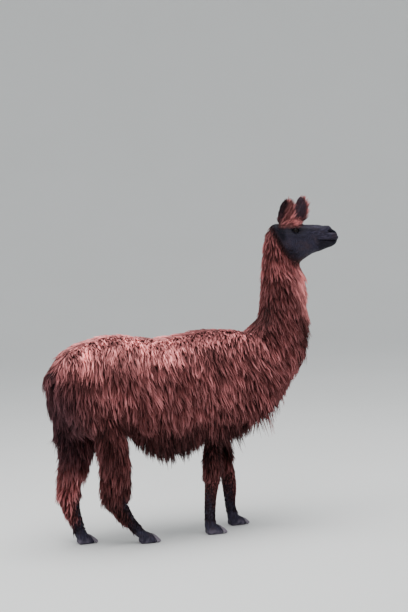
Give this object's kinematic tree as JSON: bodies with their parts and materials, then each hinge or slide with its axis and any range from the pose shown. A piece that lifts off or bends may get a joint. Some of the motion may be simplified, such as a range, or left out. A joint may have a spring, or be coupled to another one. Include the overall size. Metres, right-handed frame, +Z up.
{
  "type": "llama",
  "caption": "Standing adult llama in long brown fleece, head held high and turned a little to its right, as a still life-size figure.",
  "frame": {"origin": "on the floor under the middle of the whole animal's box", "axes": "+X forwards along the body, +Y towards the animal's left, +Z up; the soles stand on Z = 0"},
  "size_m": [1.5854, 0.5396, 1.7249],
  "materials": {
    "coat": "long wavy red-brown fleece, pale at the tips",
    "dark_coat": "short near-black brown hair",
    "face": "short velvety black hair",
    "eye": "wet dark brown",
    "nail": "dull dark horn"
  },
  "bodies": {
    "root": {"eye_right": "eye", "eye_left": "eye", "nail_hind_right_inner": "nail", "nail_hind_right_outer": "nail", "nail_hind_left_inner": "nail", "nail_hind_left_outer": "nail", "nail_front_right_inner": "nail", "nail_front_right_outer": "nail", "nail_front_left_inner": "nail", "nail_front_left_outer": "nail", "ear_left": "dark_coat", "ear_right": "dark_coat", "head": "face", "neck": "coat", "tail": "dark_coat", "foot_hind_right": "dark_coat", "shin_hind_right": "dark_coat", "leg_hind_right": "coat", "foot_hind_left": "dark_coat", "shin_hind_left": "dark_coat", "leg_hind_left": "coat", "foot_front_right": "dark_coat", "shin_front_right": "dark_coat", "leg_front_right": "coat", "foot_front_left": "dark_coat", "shin_front_left": "dark_coat", "leg_front_left": "coat", "trunk": "coat"}
  },
  "joints": []
}
